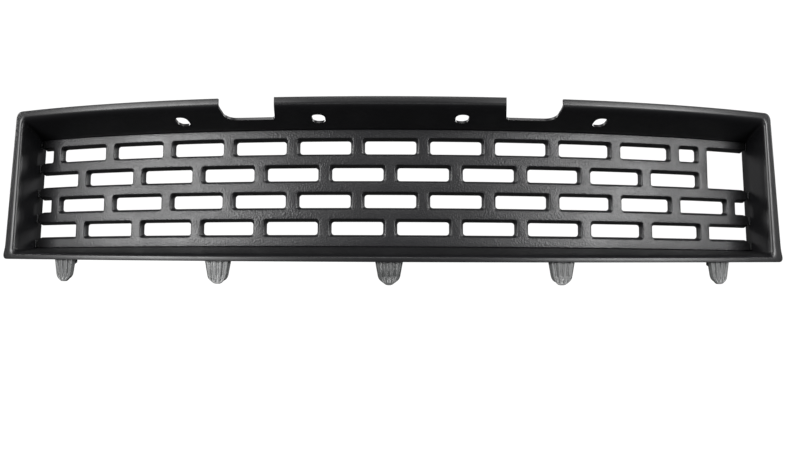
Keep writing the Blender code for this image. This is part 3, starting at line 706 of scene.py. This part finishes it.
def tongueFront(u, v):
    # how far a point of the front stands behind the flutes' crests
    shape = tongueShape
    wave = 0.5 - 0.5 * math.cos(2 * math.pi * (u * (shape["flutes"] + 1) / 2 + (0.5 if shape["flutes"] % 2 else 0)))
    wave = max(0.0, min(1.0, (wave - 0.35) / 0.5))
    fade = max(0.0, min(1.0, (0.94 - v) / shape["fluteFade"]))
    edge = max(0.0, (abs(u) - 0.86) / 0.14)
    return shape["fluteDeep"] * wave * fade + 0.0012 * edge**2


def makeTongue(number, x):
    shape = tongueShape
    bm = bmesh.new()
    bmesh.ops.create_grid(bm, x_segments=64, y_segments=40, size=1)
    shoulder = surroundShape["wall"] / 2
    back = shape["front"] + shape["fluteDeep"] + shape["plate"]
    for vert in bm.verts:
        u, v = vert.co.x, (1 - vert.co.y) / 2
        v = 1 - (1 - v) ** 1.6
        half = (shape["width"] + (shape["tipWidth"] - shape["width"]) * v) / 2
        late = max(0.0, (v - 1 + shape["tipRound"]) / shape["tipRound"])
        half *= math.sqrt(max(0.0, 1 - 0.62 * late**3))
        drop = shape["length"] * v
        sink = 0.30 * shape["tipWidth"] * late * (abs(u) ** 2.6) * 0.5
        vert.co = (u * half, shape["front"] + tongueFront(u, v), shoulder * (1 - v) - drop + sink)
    rim = [edge for edge in bm.edges if edge.is_boundary]
    made = bmesh.ops.extrude_edge_only(bm, edges=rim)["geom"]
    for vert in [item for item in made if isinstance(item, bmesh.types.BMVert)]:
        vert.co.y = back - 0.0006
    rim = [edge for edge in bm.edges if edge.is_boundary]
    made = bmesh.ops.extrude_edge_only(bm, edges=rim)["geom"]
    for vert in [item for item in made if isinstance(item, bmesh.types.BMVert)]:
        vert.co.y = back
        vert.co.x *= 0.965
        vert.co.z = vert.co.z * 0.98 - 0.0003
    bmesh.ops.holes_fill(bm, edges=[edge for edge in bm.edges if edge.is_boundary], sides=0)
    half = shape["tenonWidth"] / 2
    foot = boxInto(bm, (-half, back - 0.001, -0.009), (half, back + shape["tenonDeep"], shoulder))
    for vert in foot:
        if vert.co.z < -0.008 and vert.co.y > back:
            vert.co.z = shoulder - 0.005
    roundEdges(bm, edgesOf(foot), 0.0006, 2)
    high = (half, back + shape["tenonDeep"], shoulder + shape["tenonHigh"])
    head = boxInto(bm, (-half, back, shoulder - 0.001), high)
    roundEdges(bm, edgesOf(head), 0.0008, 2)
    bmesh.ops.recalc_face_normals(bm, faces=bm.faces)
    bmesh.ops.transform(bm, matrix=tongueFrame(x), verts=bm.verts)
    piece = asPiece(f"tongueMoulding{number}", bm, polishedAcetal, 50)
    finishPiece(piece, polishedAcetal, f"locating_tongue_{number}", 50)


for number, x in enumerate(spread(tongueShape["count"], tongueShape["outermost"]), 1):
    makeTongue(number, x)
print("tongues made")


# clips: each stands where its CAD piece stands

clipShape = {
    "depth": 0.0665,  # of its middle
    "plate": 0.002,
    "round": 0.0006,
    "high": 0.011,
    "deep": 0.010,
    "pegHigh": 0.005,
    "pegDeep": 0.004,
    "outerPeg": (-0.0052, 0.0065),  # start and reach, measured inwards from the side wall
    "innerPeg": (0.001, 0.0078),
    "barbs": ((-0.0033, -0.0050), (0.0071, 0.0088)),  # from wide end to narrow end
    "barbWide": 0.0038,
    "barbNarrow": 0.0026,
}


def makeClip(node):
    low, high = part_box(node)
    side = -1 if "left" in node else 1
    z = (low.z + high.z) / 2
    shape = clipShape
    bm = bmesh.new()
    wallX = insertEnd(z) + insertShape["endSpace"]

    def put(inset, reach, halfHigh, halfDeep):
        verts = boxInto(bm, (inset, -halfDeep, -halfHigh), (inset + reach, halfDeep, halfHigh))
        roundEdges(bm, edgesOf(verts), min(shape["round"], reach * 0.3), 3)

    put(fitGap, shape["plate"], shape["high"] / 2, shape["deep"] / 2)
    for start, reach in (shape["outerPeg"], shape["innerPeg"]):
        put(start, reach, shape["pegHigh"] / 2, shape["pegDeep"] / 2)
    for start, end in shape["barbs"]:
        quarter = math.pi / 2 if end > start else -math.pi / 2
        turn = Matrix.Translation(((start + end) / 2, 0, 0)) @ Matrix.Rotation(quarter, 4, "Y")
        turn = turn @ Matrix.Rotation(math.pi / 4, 4, "Z")
        bmesh.ops.create_cone(
            bm, cap_ends=True, segments=4, radius1=shape["barbWide"], radius2=shape["barbNarrow"],
            depth=abs(end - start), matrix=turn)
    for vert in bm.verts:
        inset, across, up = vert.co
        vert.co = bend(side * (wallX - inset), shape["depth"] + across, z + up)
    bmesh.ops.recalc_face_normals(bm, faces=bm.faces)
    piece = asPiece("moulded_" + node, bm, greyNylon)
    finishPiece(piece, greyNylon, node)


for node in sorted(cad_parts):
    if node.startswith("bar_clip"):
        makeClip(node)
print("clips made")


# screws: pan head with a cross recess and a flange, shank with thread rings

def screwMesh():
    shape = screwShape
    bm = bmesh.new()
    tip = -shape["length"]
    profile = [(0, tip), (0.0008, tip), (0.0017, tip + 0.0012)]
    step = 0.0011
    y = tip + 0.0016
    while y < -0.0012:
        profile += [(0.00155, y), (shape["radius"], y + step * 0.45), (0.00155, y + step * 0.9)]
        y += step
    profile += [(0.0018, -0.0005), (0.0018, 0), (shape["head"], 0), (shape["head"], 0.0006)]
    for i in range(1, 8):
        angle = math.pi / 2 * i / 8
        rise = (shape["headHigh"] - 0.0007) * math.sin(angle)
        profile.append((shape["head"] * 0.93 * math.cos(angle) ** 0.75, 0.0007 + rise))
    profile.append((0, shape["headHigh"]))
    verts = [bm.verts.new((radius, along, 0)) for radius, along in profile]
    edges = [bm.edges.new(pair) for pair in zip(verts, verts[1:])]
    bmesh.ops.spin(
        bm, geom=verts + edges, cent=(0, 0, 0), axis=(0, 1, 0), angle=2 * math.pi, steps=28, use_merge=True)
    bmesh.ops.remove_doubles(bm, verts=bm.verts, dist=1e-6)
    bmesh.ops.recalc_face_normals(bm, faces=bm.faces)
    return bm


def makeScrews():
    shape = screwShape
    source = asPiece("screwSource", screwMesh(), zincSteel)
    for turn in (0, 1):
        # the two slots of the cross recess, narrower at the bottom
        bm = bmesh.new()
        low = (-shape["recess"], shape["recessFloor"], -shape["recessWide"])
        high = (shape["recess"], 0.0040, shape["recessWide"])
        for vert in boxInto(bm, low, high, Matrix.Rotation(turn * math.pi / 2, 4, "Y")):
            if vert.co.y < 0.002:
                vert.co.x *= shape["recessTaper"]
                vert.co.z *= shape["recessTaper"]
        joinShape(source, bm, "DIFFERENCE")
    softenEdges(source, 0.00015, 40, 2)
    names = {1: "top", -1: "bottom"}
    for index, (edge, x, back, z) in enumerate(screwSpots()):
        number = index % shape["perEdge"] + 1
        node = f"rear_screw_{names[edge]}_{number}"
        mesh = source.data.copy()
        mesh.transform(Matrix.Translation((x, back + fitGap, z)) @ Matrix.Rotation(0.4 * index, 4, "Y"))
        piece = bpy.data.objects.new("steel_" + node, mesh)
        bpy.context.scene.collection.objects.link(piece)
        finishPiece(piece, zincSteel, node)
    bpy.data.objects.remove(source)


makeScrews()
print("screws made")


# stage, light and camera

stageShape = {"drop": 0.32, "size": 9.0}


def makeFloor():
    low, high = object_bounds()
    bm = bmesh.new()
    place = Matrix.Translation((0, 1.0, low.z - stageShape["drop"]))
    bmesh.ops.create_grid(bm, x_segments=2, y_segments=2, size=stageShape["size"], matrix=place)
    floor = asPiece("paleFloor", bm, floorPaint)
    floor.visible_diffuse = False
    floor.visible_glossy = False


# matt white paint, evenly lit; it lights nothing else
floorPaint = startMaterial("palePaintedFloor", {
    "Roughness": 0.9, "Specular IOR Level": 0.1, "Base Color": hexColour("#f4f4f4"),
    "Emission Color": hexColour("#ffffff"), "Emission Strength": 1.0})[0]
makeFloor()

# power in watts, place and size in metres; each light is aimed at the middle of the object
lights = {
    "softboxLeft": {"place": (-1.60, -1.30, 0.45), "size": (1.2, 0.9), "power": 62},
    "softboxRight": {"place": (1.60, -1.30, 0.45), "size": (1.2, 0.9), "power": 56},
    "softboxHigh": {"place": (0, -1.2, 1.5), "size": (1.2, 0.5), "power": 12},
    "backLeft": {"place": (-2.3, 1.3, 1.0), "size": (0.8, 0.8), "power": 45},
    "backRight": {"place": (2.3, 1.3, 1.0), "size": (0.8, 0.8), "power": 45},
    "stripLow": {"place": (0, -1.3, -1.3), "size": (2.6, 0.45), "power": 8},
}


def areaLight(name, values):
    light = bpy.data.lights.new(name, "AREA")
    light.shape = "RECTANGLE"
    light.size, light.size_y = values["size"]
    light.energy = values["power"]
    lamp = bpy.data.objects.new(name, light)
    lamp.location = values["place"]
    lamp.rotation_euler = (Vector((0, 0.1, 0.1)) - Vector(values["place"])).to_track_quat("-Z", "Y").to_euler()
    lamp.visible_camera = False
    bpy.context.scene.collection.objects.link(lamp)


for name, values in lights.items():
    areaLight(name, values)

world = bpy.data.worlds.new("paleRoom")
world.use_nodes = True
bpy.context.scene.world = world
backdrop = world.node_tree.nodes["Background"]
rays = addNode(world.node_tree, "ShaderNodeLightPath").outputs["Is Camera Ray"]
level = addNode(world.node_tree, "ShaderNodeMapRange", None, {"Value": rays, "To Min": 0.05, "To Max": 1.05})
backdrop.inputs["Color"].default_value = (1, 1, 1, 1)
world.node_tree.links.new(level.outputs["Result"], backdrop.inputs["Strength"])

cameraView = {
    "place": (0.023, -1.2193, 0.0012),
    "lens": 44.56,
    "yaw": -0.802,  # degrees to the right
    "pitch": 3.214,  # up
    "roll": 0.259,
}
camera = bpy.data.objects.new("camera", bpy.data.cameras.new("camera"))
camera.data.sensor_fit = "HORIZONTAL"
camera.data.sensor_width = 36
camera.data.lens = cameraView["lens"]
turn = Matrix.Rotation(math.radians(-cameraView["yaw"]), 4, "Z")
turn = turn @ Matrix.Rotation(math.radians(90 + cameraView["pitch"]), 4, "X")
turn = turn @ Matrix.Rotation(math.radians(cameraView["roll"]), 4, "Z")
camera.matrix_world = Matrix.Translation(cameraView["place"]) @ turn
bpy.context.scene.collection.objects.link(camera)
bpy.context.scene.camera = camera
bpy.context.scene.view_settings.view_transform = "Standard"
print("stage set")

bpy.context.view_layer.update()
